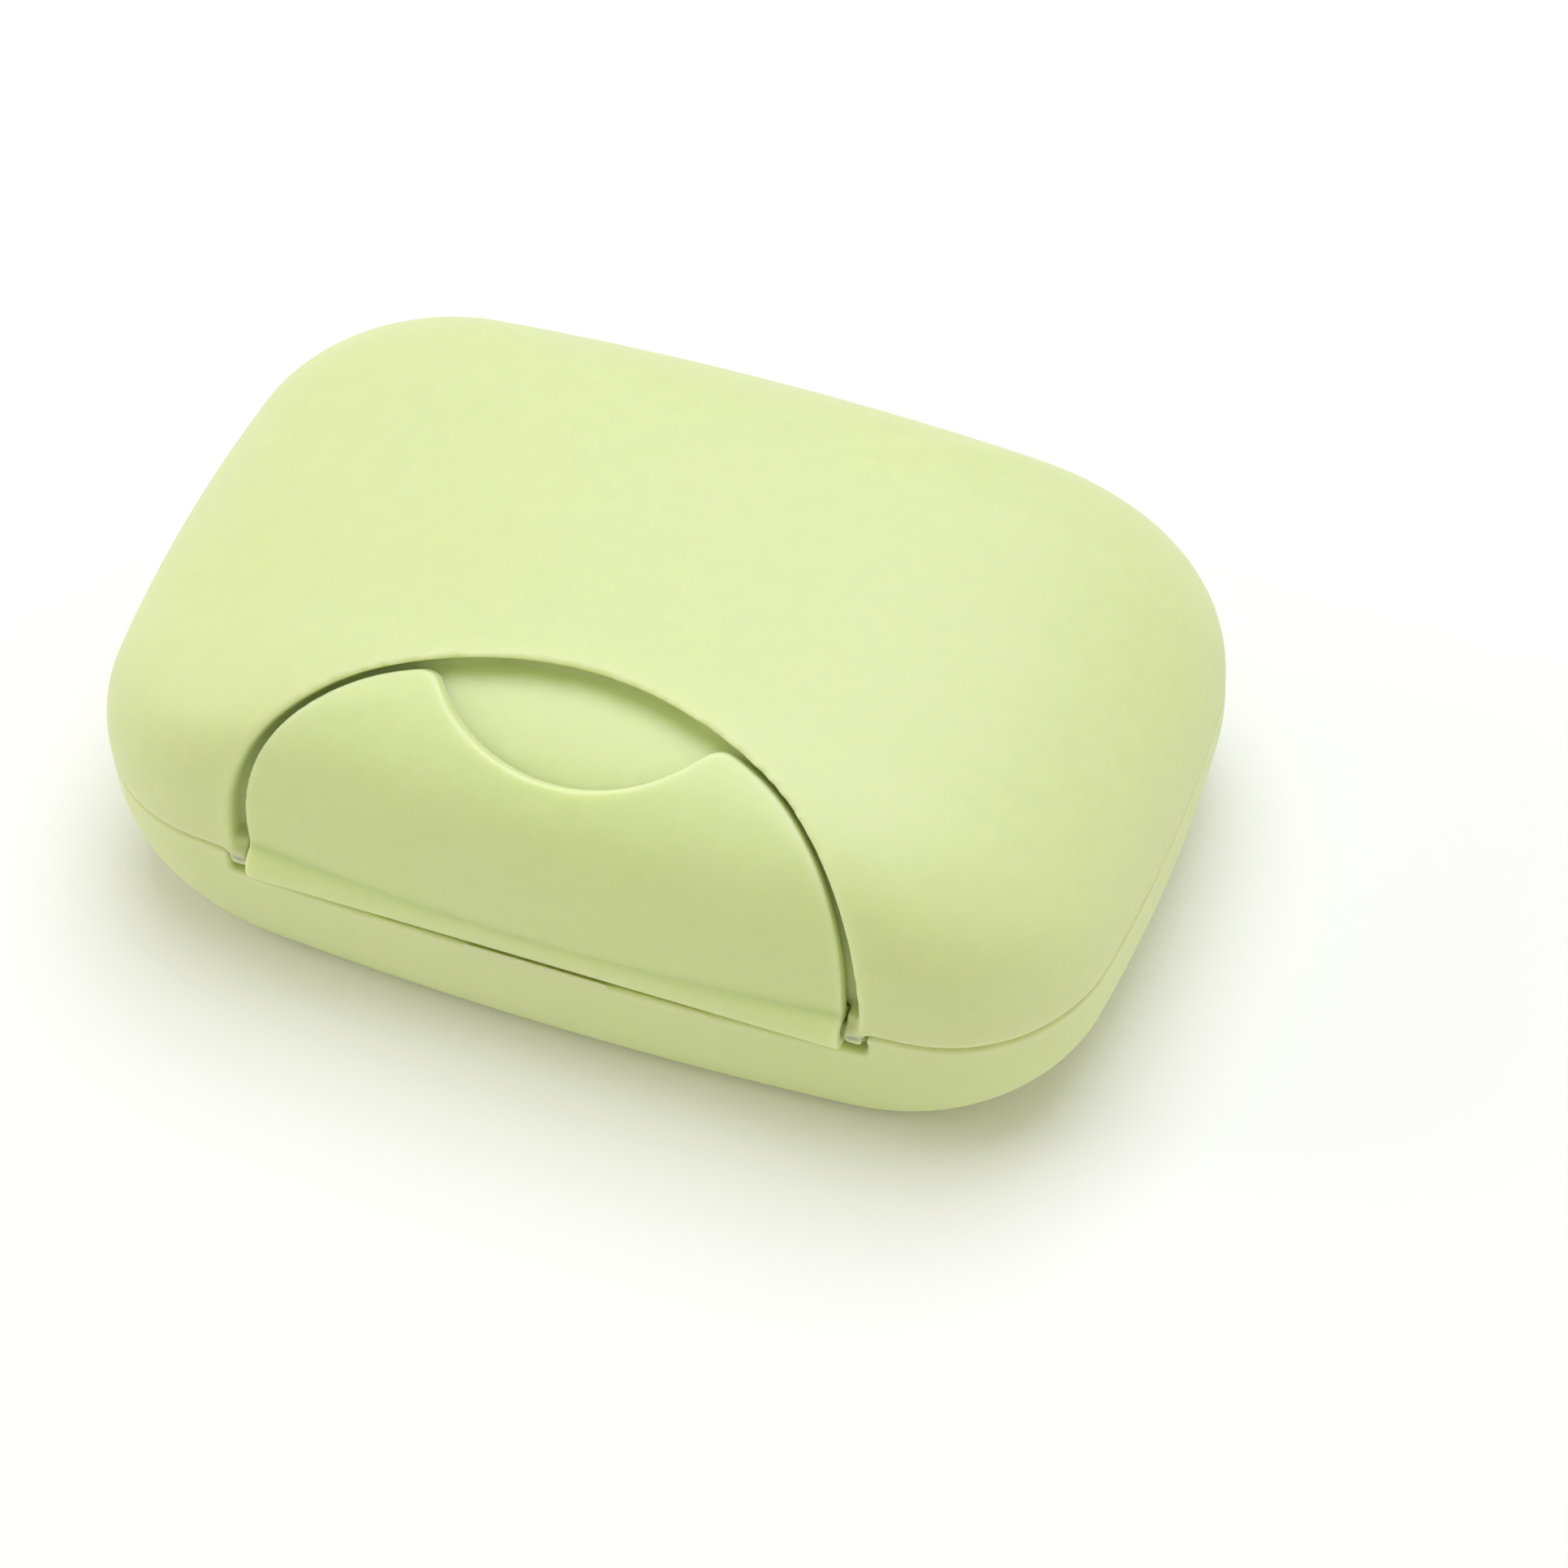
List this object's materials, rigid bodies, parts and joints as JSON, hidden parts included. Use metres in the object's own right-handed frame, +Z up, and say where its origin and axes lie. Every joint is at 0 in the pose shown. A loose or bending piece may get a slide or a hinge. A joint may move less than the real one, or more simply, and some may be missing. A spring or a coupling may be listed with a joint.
{
  "type": "travel soap box",
  "caption": "Pillow-shaped hinged plastic soap box with a half-moon latch flap set into the lid's front and a lift-out drain tray inside.",
  "frame": {"origin": "middle of the flat underside, under the centre of the case's plan", "axes": "+X along the box's length, latch flap towards -Y, hinges towards +Y, +Z up"},
  "size_m": [0.1202, 0.077, 0.044],
  "materials": {
    "case_plastic": "satin moulded polypropylene",
    "flap_plastic": "satin moulded polypropylene",
    "pin_plastic": "smooth moulded plastic",
    "tray_plastic": "satin moulded polypropylene"
  },
  "bodies": {
    "base": {"base_shell": "case_plastic", "hinge_pin_left": "pin_plastic", "hinge_pin_right": "pin_plastic"},
    "lid": {"lid_shell": "case_plastic", "latch_pin": "pin_plastic"},
    "latch": {"latch_flap": "flap_plastic"},
    "tray": {"drain_tray": "tray_plastic"}
  },
  "joints": [
    {"name": "lid_hinge", "type": "hinge", "parent": "base", "child": "lid", "pos_m": [0, 0.03775, 0.0191], "axis": [-1, 0, 0], "range_deg": [0, 110]},
    {"name": "latch_hinge", "type": "hinge", "parent": "lid", "child": "latch", "pos_m": [0, -0.03505, 0.0184], "axis": [1, 0, 0], "range_deg": [0, 75]},
    {"name": "tray_lift", "type": "slide", "parent": "base", "child": "tray", "axis": [0, 0, 1], "range_m": [0, 0.018]}
  ]
}
